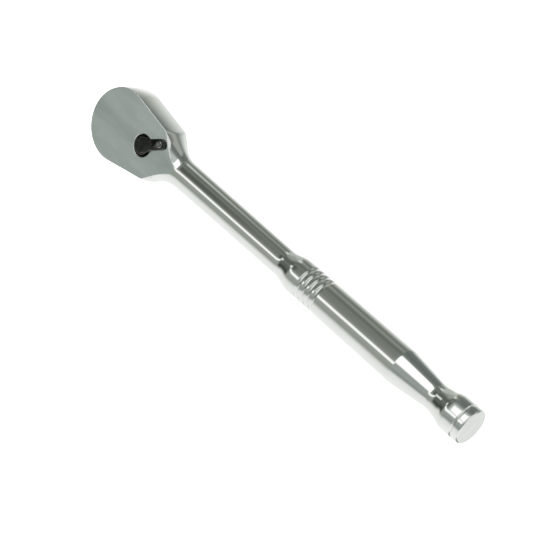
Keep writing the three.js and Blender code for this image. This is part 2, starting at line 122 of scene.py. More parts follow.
# The tab's side, as (x, half width, rounding) corners.
TAB_ROOT = [(0, 3.1, 0), (3.05, 3.1, 1.2), (4.2, 2.4, 2.5), (TAB["tip_x"], TAB["tip_radius"], 0)]
NUB = {"x": 10.5, "radius": 1.5, "top": lever_high[2], "edge": 0.55}
COUNTERBORE = {"radius": 4.6, "floor": 22.2, "chamfer": 0.35}
SHAFT = {
    "radius": 2.1, "hole": 2.2, "bottom": lever_low[2], "chamfer": 0.2,
    "groove": 1.6, "groove_low": 20.0, "groove_high": 20.8,
}
LEVER_SEAL = {"radius": 2.9, "half": 0.5, "top": 23.15}
CROSS_HOLE = {"z": 16.8, "radius": 0.85, "end": 1.4}
PLUNGER_TAIL = -0.7  # the plunger's inner end in the cross hole, measured from the lever's axis
SPRING_GAP = 0.05  # between a spring's end and what it presses on
BALL_SPRING = {"radius": 1.35, "wire": 0.2, "turns": 6}
PLUNGER_SPRING = {"radius": 0.55, "wire": 0.12, "turns": 6}

COVER = {
    "nose": 13.4, "tail": 4.7, "tail_x": 20.6, "bore": 6.95, "play": 0.12, "top": plate_high[2],
    "edge": 0.25, "chamfer": 0.2,
}
RECESS_TOP = 13.4
CAVITY = {"gear": 9.2, "lever": 4.2, "top": 21.0}
POCKET = [(3, 7.5), (4.9, 8.9), (8.1, 9.1), (10.6, 8), (12.4, 5.4), (13.2, 3)]
PILOT = {"radius": 6.0, "hole": 6.15, "hole_top": 22.3, "chamfer": 0.3}
PIN_HOLE = {"x": joints["pawl_rock"]["pos_m"][0] / MM, "radius": 0.96, "top": 21.8}
SCREW_PLACES = [(-8.1, 8.1), (-8.1, -8.1), (21.6, 0.0)]
SCREW = {
    "head": 2.1, "shank": 1.1, "bottom": 11.1, "rim": 11.25, "cone_top": 12.1, "tip": 18.0,
    "play": 0.1, "tip_play": 0.3,
}
THREAD = {"pitch": 0.45, "depth": 0.2, "runout": 0.6}
RECESS = {"lobes": 6, "radius": 0.95, "lobe": 0.18, "top": 12.0}

GEAR = {"teeth": 36, "tip": 8.8, "root": 8.05, "bottom": 13.6, "top": 20.5}
TOOTH_HALVES = {"root": 0.42, "tip": 0.1}  # half of a tooth's thickness, as a share of the pitch
JOURNAL = {"radius": 6.8, "bottom": 10.9}
SQUARE = {"half": 4.765, "corner": 1.1, "chamfer": 0.7}
SEAL_GROOVE = {"z": 12.0, "half": 0.5, "floor": 5.95}
BALL_Z = (ball_low[2] + ball_high[2]) / 2
BALL_HOLE = {"radius": 2.05, "depth": 7.6, "lip": 1.75, "lip_depth": 0.17}

OVERLAP = 0.5  # how far joined bodies reach into each other
PAST = 1  # how far a cutter reaches past the body it cuts
BELOW = BOTTOM_Z - PAST  # where the cutters from the drive side start
SOFT_EDGE = 0.04  # rounding of the edges of the pieces that keep their CAD shape

# ---- outlines and profiles ----------------------------------------------------------------------


def arc(centre, radius, start, stop, step=math.radians(3)):
    """Points round a centre from one angle to another, with both ends."""
    count = max(2, math.ceil(abs(stop - start) / step))
    angles = np.linspace(start, stop, count + 1)
    return np.stack([centre[0] + radius * np.cos(angles), centre[1] + radius * np.sin(angles)], 1)


def rounded_corners(corner_list, step=math.radians(2)):
    """A polyline of (x, y, rounding) corners with each corner replaced by an arc."""
    points = [np.array(corner_list[0][:2], float)]
    for before, corner, after in zip(corner_list, corner_list[1:], corner_list[2:]):
        at = np.array(corner[:2], float)
        to_before = np.array(before[:2]) - at
        to_after = np.array(after[:2]) - at
        to_before /= np.linalg.norm(to_before)
        to_after /= np.linalg.norm(to_after)
        half_turn = (math.pi - math.acos(np.clip(to_before @ to_after, -1, 1))) / 2
        if corner[2] == 0 or half_turn < 1e-6:
            points.append(at)
            continue
        middle = to_before + to_after
        centre = at + middle / np.linalg.norm(middle) * corner[2] / math.cos(half_turn)
        reach = corner[2] * math.tan(half_turn)
        start = at + to_before * reach - centre
        stop = at + to_after * reach - centre
        first = math.atan2(start[1], start[0])
        turn = math.remainder(math.atan2(stop[1], stop[0]) - first, 2 * math.pi)
        points.extend(arc(centre, corner[2], first, first + turn, step))
    points.append(np.array(corner_list[-1][:2], float))
    return np.array(points)


def refined(points, longest):
    """The polyline with its long stretches divided into equal parts."""
    parts = []
    for a, b in zip(points, points[1:]):
        count = max(1, math.ceil(np.linalg.norm(b - a) / longest))
        parts.append(a + (b - a) * np.arange(count)[:, None] / count)
    return np.concatenate(parts + [points[-1:]])


def groove_depth(x, middle, half_width, depth):
    """How far a round-bottomed groove with softened lips lies below the surface."""
    bowl = depth * (1 - ((x - middle) / half_width) ** 2)
    return (bowl + np.hypot(bowl, GROOVE_LIP)) / 2


def teardrop(inset):
    """The cover plate's outline: a nose arc and a tail arc joined by their common tangents."""
    tangent = math.acos((COVER["nose"] - COVER["tail"]) / COVER["tail_x"])
    nose = arc((0, 0), COVER["nose"] - inset, tangent, 2 * math.pi - tangent)
    tail = arc((COVER["tail_x"], 0), COVER["tail"] - inset, -tangent, tangent)
    return np.concatenate([nose, tail])


def square_outline(inset):
    """The drive square's outline, with round corners."""
    middle = SQUARE["half"] - inset - SQUARE["corner"]
    quarters = []
    for quarter, (side_x, side_y) in enumerate([(1, 1), (-1, 1), (-1, -1), (1, -1)]):
        corner = (side_x * middle, side_y * middle)
        turn = quarter * math.pi / 2
        quarters.append(arc(corner, SQUARE["corner"], turn, turn + math.pi / 2, math.radians(10)))
    return np.concatenate(quarters)


def gear_outline():
    """The toothed wheel's outline, with a tooth space on the +X axis."""
    pitch = 2 * math.pi / GEAR["teeth"]
    root, tip = GEAR["root"], GEAR["tip"]
    foot, crest = TOOTH_HALVES["root"], TOOTH_HALVES["tip"]
    tooth = [(root, -foot), (tip, -crest), (tip, crest), (root, foot)]
    points = []
    for i in range(GEAR["teeth"]):
        for radius, part in tooth:
            angle = (i + 0.5 + part) * pitch
            points.append((radius * math.cos(angle), radius * math.sin(angle)))
    return np.array(points)


def tab_outline(inset):
    """The thumb tab from the lever's axis to its round tip, pointing along +X."""
    side = rounded_corners(TAB_ROOT, math.radians(12))[:-1] - (0, inset)
    tip = arc((TAB["tip_x"], 0), TAB["tip_radius"] - inset, math.pi / 2, 0, math.radians(6))
    upper = np.concatenate([side, tip])
    return np.concatenate([upper, upper[-2::-1] * (1, -1)])[::-1]


# ---- mesh building ------------------------------------------------------------------------------

SAME_PLACE = 2e-7  # points nearer to each other than this, in metres, are one
EDGE_STEPS = 5  # divisions of a rounded edge


def mesh_object(name, points, faces):
    """A mesh object from points in millimetres, with doubled points merged and faces outwards."""
    mesh = bpy.data.meshes.new(name)
    mesh.from_pydata([tuple(p) for p in np.asarray(points) * MM], [], faces)
    work = bmesh.new()
    work.from_mesh(mesh)
    bmesh.ops.remove_doubles(work, verts=work.verts, dist=SAME_PLACE)
    bmesh.ops.dissolve_degenerate(work, edges=work.edges, dist=SAME_PLACE)
    bmesh.ops.recalc_face_normals(work, faces=work.faces)
    work.to_mesh(mesh)
    work.free()
    made = bpy.data.objects.new(name, mesh)
    bpy.context.scene.collection.objects.link(made)
    return made


def ring_grid(rings, closed_ends=True):
    """Faces joining rings of equal point count, given as an array (ring, point, xyz)."""
    ring_count, point_count = rings.shape[:2]
    points = rings.reshape(-1, 3)
    faces = []
    for i in range(ring_count - 1):
        for j in range(point_count):
            k = (j + 1) % point_count
            row, next_row = i * point_count, (i + 1) * point_count
            faces.append((row + j, row + k, next_row + k, next_row + j))
    if closed_ends:
        faces.append(tuple(range(point_count))[::-1])
        faces.append(tuple(range((ring_count - 1) * point_count, ring_count * point_count)))
    return points, faces


def turned_body(name, profile, centre=(0, 0), segments=96):
    """A body turned about an upright axis from (radius, z) points that start and end on it."""
    angles = 2 * math.pi * np.arange(segments) / segments
    profile = np.asarray(profile, float)
    rings = np.stack([
        centre[0] + profile[:, :1] * np.cos(angles),
        centre[1] + profile[:, :1] * np.sin(angles),
        np.repeat(profile[:, 1:], segments, 1),
    ], 2)
    points, faces = ring_grid(rings, closed_ends=False)
    return mesh_object(name, points, faces)


def prism(name, outline_at, bottom, top, low_edge=0.0, high_edge=0.0):
    """A body with upright walls over outline_at(inset), its lower and upper edges rounded."""
    layers = []
    for turn in np.linspace(math.pi / 2, 0, EDGE_STEPS + 1 if low_edge else 1):
        layers.append((low_edge * (1 - math.cos(turn)), bottom + low_edge * (1 - math.sin(turn))))
    for turn in np.linspace(0, math.pi / 2, EDGE_STEPS + 1 if high_edge else 1):
        layers.append((high_edge * (1 - math.cos(turn)), top - high_edge * (1 - math.sin(turn))))
    return lofted(name, [(outline_at(inset), z) for inset, z in layers])


def lofted(name, layers):
    """A body through (outline, z) layers from the bottom up."""
    rings = [np.column_stack([outline, np.full(len(outline), z)]) for outline, z in layers]
    return mesh_object(name, *ring_grid(np.array(rings)))


def applied(target):
    """Replaces the object's mesh by the result of its modifiers."""
    depsgraph = bpy.context.evaluated_depsgraph_get()
    mesh = bpy.data.meshes.new_from_object(target.evaluated_get(depsgraph))
    target.modifiers.clear()
    target.data = mesh


def combined(target, operation, others):
    """Joins other bodies to the target or cuts them from it, and removes them."""
    for other in others:
        boolean = target.modifiers.new("boolean", "BOOLEAN")
        boolean.operation = operation
        boolean.solver = "EXACT"
        boolean.object = other
    applied(target)
    for other in others:
        bpy.data.objects.remove(other)
    return target


def smoothed(target, angle=30):
    """Smooth shading, with edges sharper than the angle kept."""
    mesh = target.data
    mesh.polygons.foreach_set("use_smooth", [True] * len(mesh.polygons))
    mesh.set_sharp_from_angle(angle=math.radians(angle))
    return target


# ---- handle forging -----------------------------------------------------------------------------

outline = refined(rounded_corners(HANDLE_CORNERS), 1.5)
FINE_STEP = 0.02
fine_x = np.arange(0, LAST_LEVEL_X, FINE_STEP)
fine_radius = np.interp(fine_x, outline[:, 0], outline[:, 1])


def rounded_meeting(radius, *depths):
    """Depth below the common surface of several, rounded where they meet; positive inside."""
    outward = -np.stack(np.broadcast_arrays(*depths))
    beyond = np.linalg.norm(np.maximum(outward + radius, 0), axis=0)
    return -(np.minimum(-radius, outward.max(0)) + beyond)


def flank_depth(x, y):
    """Depth inside the pear outline: the nose arc and the straight flanks tangent to it."""
    flank = NOSE_RADIUS - x * math.sin(FLANK_ANGLE) - np.abs(y) * math.cos(FLANK_ANGLE)
    nose = NOSE_RADIUS - np.hypot(x, y)
    return np.where(x * math.cos(FLANK_ANGLE) > np.abs(y) * math.sin(FLANK_ANGLE), flank, nose)


def side_depth(x, y, z):
    """Depth inside the head's swelling side walls and the neck's flare together."""
    wall = flank_depth(x, y) - SIDE_CROWN * (z / HALF_HEIGHT) ** 2
    slope = np.interp(x, fine_x[:-1], np.diff(fine_radius) / FINE_STEP)
    neck = (np.interp(x, fine_x, fine_radius) - np.hypot(y, z)) / np.hypot(1, slope)
    return rounded_meeting(NECK_EDGE, wall, neck)


def head_depth(x, y, z):
    return rounded_meeting(FACE_EDGE, HALF_HEIGHT - np.abs(z), side_depth(x, y, z))


HALVINGS = 42
OUTSIDE = 40.0  # along any ray of a section, this distance lies outside the head
NARROWEST_EDGE = math.radians(9)  # taken for the faces' edges past their tips


def root_along(depth_at, ray_count):
    """The distance at which a depth turns negative along each ray, by halving."""
    low = np.zeros(ray_count)
    high = np.full(ray_count, OUTSIDE)
    for _ in range(HALVINGS):
        middle = (low + high) / 2
        inside = depth_at(middle) > 0
        low = np.where(inside, middle, low)
        high = np.where(inside, high, middle)
    return low


HALF_RING = 76  # divisions from the top of a section down one side to its bottom


def section_angles(edge, share_round):
    """Directions from straight up to straight down, dense where the flat faces' edges are."""
    distance = HALF_HEIGHT * math.tan(edge)
    guard = math.atan2(max(distance - FACE_EDGE - 0.12, 0.4 * distance), HALF_HEIGHT)
    start = math.atan2(max(distance - FACE_EDGE, 0.5 * distance), HALF_HEIGHT)
    stop = math.atan2(distance + 0.02, HALF_HEIGHT - FACE_EDGE)
    anchors = [0, guard, start, stop, stop + 0.02]
    counts = [10, 1, 10, 1]
    parts = zip(anchors, anchors[1:], counts)
    angles = np.concatenate([np.linspace(a, b, count + 1)[:-1] for a, b, count in parts])
    wall = np.linspace(anchors[-1], math.pi - anchors[-1], HALF_RING - 2 * sum(counts) + 1)
    angles = np.concatenate([angles, wall, math.pi - angles[::-1]])
    even = np.linspace(0, math.pi, HALF_RING + 1)
    return angles * (1 - share_round) + even * share_round


def head_rings():
    """Sections of the head: a fan round the nose, then upright planes across the handle."""
    fan = [(0.0, angle) for angle in np.radians(np.arange(0, 90, 2.0))]
    flats = [(x, math.pi / 2) for x in np.arange(0, 18, 0.75)]
    neck = [(x, math.pi / 2) for x in np.arange(18, HEAD_END_X, 0.22)]
    rings = []
    for base_x, angle in fan + flats + neck:
        along_x, along_y = -math.cos(angle), math.sin(angle)
        rim = root_along(lambda t: side_depth(base_x + t * along_x, t * along_y, HALF_HEIGHT), 1)[0]
        edge = max(math.atan2(rim, HALF_HEIGHT), NARROWEST_EDGE)
        share_round = np.clip((base_x - ROUND_FROM_X) / (ROUND_TO_X - ROUND_FROM_X), 0, 1)
        turn = section_angles(edge, share_round * share_round * (3 - 2 * share_round))
        out, up = np.sin(turn), np.cos(turn)
        reach = root_along(
            lambda t: head_depth(base_x + t * out * along_x, t * out * along_y, t * up), len(turn)
        )
        x = base_x + reach * out * along_x
        y = reach * out * along_y
        z = AXIS_Z + reach * up
        near = np.column_stack([x, y, z])
        far = np.column_stack([x, -y, z])[-2:0:-1]
        rings.append(np.concatenate([near, far]))
    return rings


def bar_rings():
    """Turned sections of the shank, the grip and the knob, closed at the knob's end."""
    profile = outline[outline[:, 0] > HEAD_END_X + 0.2]
    parts = [profile]
    for middle, half_width, _ in GRIP_GROOVES + [KNOB_GROOVE]:
        x = np.linspace(middle - GROOVE_SPAN * half_width, middle + GROOVE_SPAN * half_width, 37)
        parts.append(np.column_stack([x, np.interp(x, outline[:, 0], outline[:, 1])]))
    body = np.concatenate(parts)
    body = body[body[:, 0] < LAST_LEVEL_X]
    body = body[np.argsort(body[:, 0])]
    apart = np.concatenate([[True], np.diff(body[:, 0]) > FINE_STEP])
    body = body[apart]
    for middle, half_width, depth in GRIP_GROOVES + [KNOB_GROOVE]:
        body[:, 1] -= groove_depth(body[:, 0], middle, half_width, depth)
    tail = profile[profile[:, 0] >= LAST_LEVEL_X]
    body = np.concatenate([body, tail])
    turn = 2 * math.pi * np.arange(2 * HALF_RING) / (2 * HALF_RING)
    across, up = np.sin(turn), np.cos(turn)
    return [
        np.column_stack([np.full(len(turn), x), radius * across, AXIS_Z + radius * up])
        for x, radius in body
    ]


def mirrored_outline(half):
    """The closed outline whose +Y half is given, from one end on."""
    upper = np.array(half, float)
    return np.concatenate([upper[::-1] * (1, -1), upper])


def drill(x, y, radius, top, segments=96, bottom=BELOW):
    """A cylinder for cutting a round hole."""
    profile = [(0, bottom), (radius, bottom), (radius, top), (0, top)]
    return turned_body("cut", profile, (x, y), segments)


def make_forging():
    """The one-piece head and handle, with the mechanism's cavity cut from the drive side."""
    rings = np.array(head_rings() + bar_rings())
    points, faces = ring_grid(rings, closed_ends=False)
    forging = mesh_object("handle_body", points, faces)
    pocket = mirrored_outline(POCKET)
    cavity = combined(drill(0, 0, CAVITY["gear"], CAVITY["top"]), "UNION", [
        lofted("cut", [(pocket, BELOW), (pocket, CAVITY["top"])]),
        drill(LEVER_X, 0, CAVITY["lever"], CAVITY["top"]),
        drill(0, 0, PILOT["hole"], PILOT["hole_top"]),
        drill(LEVER_X, 0, SHAFT["hole"], COUNTERBORE["floor"] + PAST, 48),
        drill(PIN_HOLE["x"], 0, PIN_HOLE["radius"], PIN_HOLE["top"], 32),
    ])
    radius, chamfer = COUNTERBORE["radius"], COUNTERBORE["chamfer"]
    mouth = [
        (0, COUNTERBORE["floor"]), (radius, COUNTERBORE["floor"]), (radius, TOP_Z - chamfer),
        (radius + chamfer, TOP_Z), (radius + chamfer, TOP_Z + 2 * PAST), (0, TOP_Z + 2 * PAST),
    ]
    recess = teardrop(-COVER["play"])
    hole, hole_top = SCREW["shank"] + SCREW["play"], SCREW["tip"] + SCREW["tip_play"]
    return smoothed(combined(forging, "DIFFERENCE", [
        cavity,
        turned_body("cut", mouth, (LEVER_X, 0), 128),
        lofted("cut", [(recess, BELOW), (recess, RECESS_TOP)]),
        *[drill(*place, hole, hole_top, 32) for place in SCREW_PLACES],
    ]))


# ---- cover plate and screws ---------------------------------------------------------------------


def make_cover():
    """The teardrop plate that closes the mechanism, with the drive's bore and three screw sinks."""
    plate = prism("cover_lid", teardrop, BOTTOM_Z, COVER["top"], low_edge=COVER["edge"])
    bore, chamfer, above = COVER["bore"], COVER["chamfer"], COVER["top"] + PAST
    bore_profile = [
        (0, BELOW), (bore + chamfer + PAST, BELOW), (bore, BOTTOM_Z + chamfer),
        (bore, above), (0, above),
    ]
    wide = SCREW["head"] + SCREW["play"]
    narrow = SCREW["shank"] + SCREW["play"]
    sink_profile = [
        (0, BELOW), (wide, BELOW), (wide, SCREW["rim"]),
        (narrow, SCREW["cone_top"]), (narrow, above), (0, above),
    ]
    cutters = [turned_body("cut", bore_profile, segments=128)]
    cutters += [turned_body("cut", sink_profile, place, 48) for place in SCREW_PLACES]
    return smoothed(combined(plate, "DIFFERENCE", cutters))


def make_screw(index, place):
    """A flat-head screw with a six-lobed recess, its thread made as rings."""
    head, shank, core = SCREW["head"], SCREW["shank"], SCREW["shank"] - THREAD["depth"]
    bottom, cone_top, tip = SCREW["bottom"], SCREW["cone_top"], SCREW["tip"]
    profile = [(0, bottom), (head - 0.12, bottom), (head, bottom + 0.1), (head, SCREW["rim"])]
    profile.append((shank, cone_top))
    for z in np.arange(cone_top + THREAD["runout"], tip - THREAD["runout"], THREAD["pitch"]):
        profile += [(shank, z), (core, z + 0.17), (core, z + 0.23), (shank, z + 0.4)]
    profile += [(shank, tip - 0.4), (shank - 0.4, tip), (0, tip)]
    screw = turned_body(f"cover_bolt_{index}", profile, place, 48)
    angles = 2 * math.pi * np.arange(96) / 96
    radius = RECESS["radius"] + RECESS["lobe"] * np.cos(RECESS["lobes"] * angles)
    lobes = np.column_stack([radius * np.cos(angles), radius * np.sin(angles)]) + place
    cutter = lofted("cut", [(lobes, bottom - PAST), (lobes, RECESS["top"])])
    return smoothed(combined(screw, "DIFFERENCE", [cutter]), 25)


# ---- drive gear and ball ------------------------------------------------------------------------


def make_gear():
    """The toothed wheel, its pilot and journal, and the square that takes the sockets."""
    wheel = lofted("drive_wheel", [(gear_outline(), GEAR["bottom"]), (gear_outline(), GEAR["top"])])
    radius, bottom, top = JOURNAL["radius"], JOURNAL["bottom"], GEAR["bottom"] + OVERLAP
    floor = SEAL_GROOVE["floor"]
    groove_low = SEAL_GROOVE["z"] - SEAL_GROOVE["half"]
    groove_high = SEAL_GROOVE["z"] + SEAL_GROOVE["half"]
    journal = turned_body("part", [
        (0, bottom), (radius - 0.25, bottom), (radius, bottom + 0.2), (radius, groove_low),
        (floor, groove_low), (floor, groove_high), (radius, groove_high), (radius, top), (0, top),
    ])
    radius, chamfer = PILOT["radius"], PILOT["chamfer"]
    low, high = GEAR["top"] - OVERLAP, gear_high[2]
    pilot = turned_body("part", [
        (0, low), (radius, low), (radius, high - chamfer), (radius - chamfer, high), (0, high),
    ])
    chamfer = SQUARE["chamfer"]
    insets = [
        (chamfer, 0), (0.12, chamfer - 0.14), (0.03, chamfer + 0.1), (0, chamfer + 0.35),
        (0, bottom + 0.3),
    ]
    square = lofted("part", [(square_outline(inset), z) for inset, z in insets])
    combined(wheel, "UNION", [journal, pilot, square])

    radius, lip = BALL_HOLE["radius"], BALL_HOLE["lip"]
    lip_start, mouth = BALL_HOLE["depth"] - BALL_HOLE["lip_depth"], BALL_HOLE["depth"] + PAST
    profile = [(0, 0), (radius, 0), (radius, lip_start), (lip, lip_start), (lip, mouth), (0, mouth)]
    hole = turned_body("cut", profile, segments=64)
    floor = Vector((0, SQUARE["half"] - BALL_HOLE["depth"], BALL_Z))
    hole.data.transform(Matrix.Rotation(-math.pi / 2, 4, "X"))
    hole.data.transform(Matrix.Translation(floor * MM))
    return smoothed(combined(wheel, "DIFFERENCE", [hole]), 25)


def make_ball():
    """The detent ball that holds a socket on the square."""
    centre = (ball_low + ball_high) / 2
    radius = (ball_high[2] - ball_low[2]) / 2
    turn = np.linspace(-math.pi / 2, math.pi / 2, 33)
    profile = np.column_stack([radius * np.cos(turn), centre[2] + radius * np.sin(turn)])
    profile[0, 0] = profile[-1, 0] = 0
    return smoothed(turned_body("socket_ball", profile, centre[:2], 64))


# ---- springs ------------------------------------------------------------------------------------


def make_coil(name, spring, length, place):
    """A coil spring with a closed turn at each end; place carries it from the origin and +Z."""
    radius, wire, turns = spring["radius"], spring["wire"], spring["turns"]
    turned = np.linspace(0, turns, 36 * turns + 1)
    low, high = wire, length - wire
    rise = 2.1 * wire  # of a closed turn
    heights = np.interp(turned, [0, 1, turns - 1, turns], [low, low + rise, high - rise, high])
    around = 2 * math.pi * turned[:, None]
    section = 2 * math.pi * np.arange(14) / 14
    out = radius + wire * np.cos(section)
    up = wire * np.sin(section)
    rings = np.stack([out * np.cos(around), out * np.sin(around), heights[:, None] + up], axis=-1)
    coil = mesh_object(name, *ring_grid(rings))
    coil.data.transform(place)
    return smoothed(coil)


def squashed_spring(piece):
    """Gives the spring a mesh of its own."""
    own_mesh(piece)


def add_springs():
    """The spring behind the ball, and the one behind the plunger in the lever's shaft."""
    start = SQUARE["half"] - BALL_HOLE["depth"] + SPRING_GAP
    length = ball_low[1] - SPRING_GAP - start
    foot = (0, start, BALL_Z)
    place = Matrix.Translation(Vector(foot) * MM) @ Matrix.Rotation(-math.pi / 2, 4, "X")
    spring = make_coil("ball_coil", BALL_SPRING, length, place)
    place_piece(spring, "drive", "detent_spring", "spring_steel")
    squashed_spring(spring)

    start = CROSS_HOLE["end"] - SPRING_GAP
    length = start - PLUNGER_TAIL - SPRING_GAP
    away = Vector((math.cos(LEVER_THROW), math.sin(LEVER_THROW), 0))
    foot = Vector((LEVER_X, 0, CROSS_HOLE["z"])) + away * start
    turn = Matrix.Rotation(LEVER_THROW, 4, "Z") @ Matrix.Rotation(-math.pi / 2, 4, "Y")
    place = Matrix.Translation(foot * MM) @ turn
    spring = make_coil("plunger_coil", PLUNGER_SPRING, length, place)
    place_piece(spring, "lever", "plunger_spring", "spring_steel")
    squashed_spring(spring)


# ---- reverse lever ------------------------------------------------------------------------------


def make_lever():
    """Hub, thumb tab with a raised nub, and shaft, made about the lever's axis, then turned."""
    shaft, shaft_bottom, chamfer = SHAFT["radius"], SHAFT["bottom"], SHAFT["chamfer"]
    groove, groove_low, groove_high = SHAFT["groove"], SHAFT["groove_low"], SHAFT["groove_high"]
    seal_top = LEVER_SEAL["top"]
    seal_in = LEVER_SEAL["radius"] - LEVER_SEAL["half"]
    seal_out = LEVER_SEAL["radius"] + LEVER_SEAL["half"]
    radius, bottom, top, edge = HUB["radius"], HUB["bottom"], HUB["top"], HUB["edge"]
    crown = top + 0.02  # the hub's top rises by this much to its middle
    lever = turned_body("lever_body", [
        (0, shaft_bottom), (shaft - chamfer, shaft_bottom), (shaft, shaft_bottom + chamfer),
        (shaft, groove_low), (groove, groove_low), (groove, groove_high), (shaft, groove_high),
        (shaft, bottom), (seal_in, bottom), (seal_in, seal_top), (seal_out, seal_top),
        (seal_out, bottom), (radius, bottom),
        *arc((radius - edge, top - edge), edge, 0, math.pi / 2, math.radians(15)),
        (radius * 0.5, crown), (0, crown),
    ])
    tab = prism("part", tab_outline, TAB["bottom"], TAB["top"], high_edge=TAB["edge"])
    radius, bottom, top, edge = NUB["radius"], TAB["bottom"] + 0.1, NUB["top"], NUB["edge"]
    nub = turned_body("part", [
        (0, bottom), (radius + 0.25, bottom), (radius + 0.2, TAB["top"] - 0.05),
        *arc((radius - edge, top - edge), edge, 0, math.pi / 2, math.radians(12)), (0, top),
    ], (NUB["x"], 0), 48)
    combined(lever, "UNION", [tab, nub])
    hole = drill(0, 0, CROSS_HOLE["radius"], shaft + PAST, 40, bottom=-CROSS_HOLE["end"])
    hole.data.transform(Matrix.Rotation(-math.pi / 2, 4, "Y"))
    hole.data.transform(Matrix.Translation(Vector((0, 0, CROSS_HOLE["z"])) * MM))
    combined(lever, "DIFFERENCE", [hole])
    place = Matrix.Translation(Vector((LEVER_X, 0, 0)) * MM) @ Matrix.Rotation(LEVER_THROW, 4, "Z")
    lever.data.transform(place)
    return smoothed(lever)


# ---- materials ----------------------------------------------------------------------------------


class Shader:
    """A node tree that is filled by small steps; a value given to an input may be a socket."""

    def __init__(self, tree):
        self.tree = tree
        tree.nodes.clear()

    def add(self, kind, inputs=None, **settings):
        node = self.tree.nodes.new(kind)
        for name, value in settings.items():
            setattr(node, name, value)
        for key, value in (inputs or {}).items():
            if isinstance(value, bpy.types.NodeSocket):
                self.tree.links.new(value, node.inputs[key])
            else:
                node.inputs[key].default_value = value
        return node

    def math(self, operation, *values):
        return self.add("ShaderNodeMath", dict(enumerate(values)), operation=operation).outputs[0]

    def ramp(self, value, low, high, to_low=0.0, to_high=1.0):
        """value carried from one range to another, smoothly and held at the ends."""
        inputs = {0: value, 1: low, 2: high, 3: to_low, 4: to_high}
        return self.add("ShaderNodeMapRange", inputs, interpolation_type="SMOOTHSTEP").outputs[0]

    def noise(self, vector, scale, detail=3.0, rough=0.5):
        inputs = {"Vector": vector, "Scale": scale, "Detail": detail, "Roughness": rough}
        return self.add("ShaderNodeTexNoise", inputs).outputs["Fac"]

    def millimetres(self, stretch=(1, 1, 1)):
        """Places on the piece in millimetres; a small stretch draws a pattern out along its axis."""
        place = self.add("ShaderNodeTexCoord").outputs["Object"]
        scale = [s / MM for s in stretch]
        return self.add("ShaderNodeMapping", {"Vector": place, "Scale": scale}).outputs[0]

    def distance(self, x, y, centre):
        """Distance of a place from a line along Z through centre."""
        squares = self.squared(x, centre[0]), self.squared(y, centre[1])
        return self.math("SQRT", self.math("ADD", *squares))

    def squared(self, value, middle):
        """The square of the distance of a value from a middle one."""
        return self.math("POWER", self.math("ABSOLUTE", self.math("SUBTRACT", value, middle)), 2.0)

    def mixed(self, share, first, second):
        """A colour between two others."""
        inputs = {0: share, 6: first, 7: second}
        return self.add("ShaderNodeMix", inputs, data_type="RGBA").outputs[2]

    def bump(self, height, microns, below=None):
        inputs = {"Height": height, "Distance": microns * 1e-6, "Strength": 1.0}
        if below is not None:
            inputs["Normal"] = below
        return self.add("ShaderNodeBump", inputs).outputs[0]


def new_material(name):
    material = bpy.data.materials.new(name)
    material.use_nodes = True
    return material, Shader(material.node_tree)


def colour(red, green, blue):
    return (red, green, blue, 1.0)


def finish_surface(shader, **values):
    """Ends a material with its surface; the values are the surface's inputs, with _ for a space."""
    inputs = {name.replace("_", " "): value for name, value in values.items()}
    surface = shader.add("ShaderNodeBsdfPrincipled", inputs)
    output = shader.add("ShaderNodeOutputMaterial")
    shader.tree.links.new(surface.outputs[0], output.inputs["Surface"])


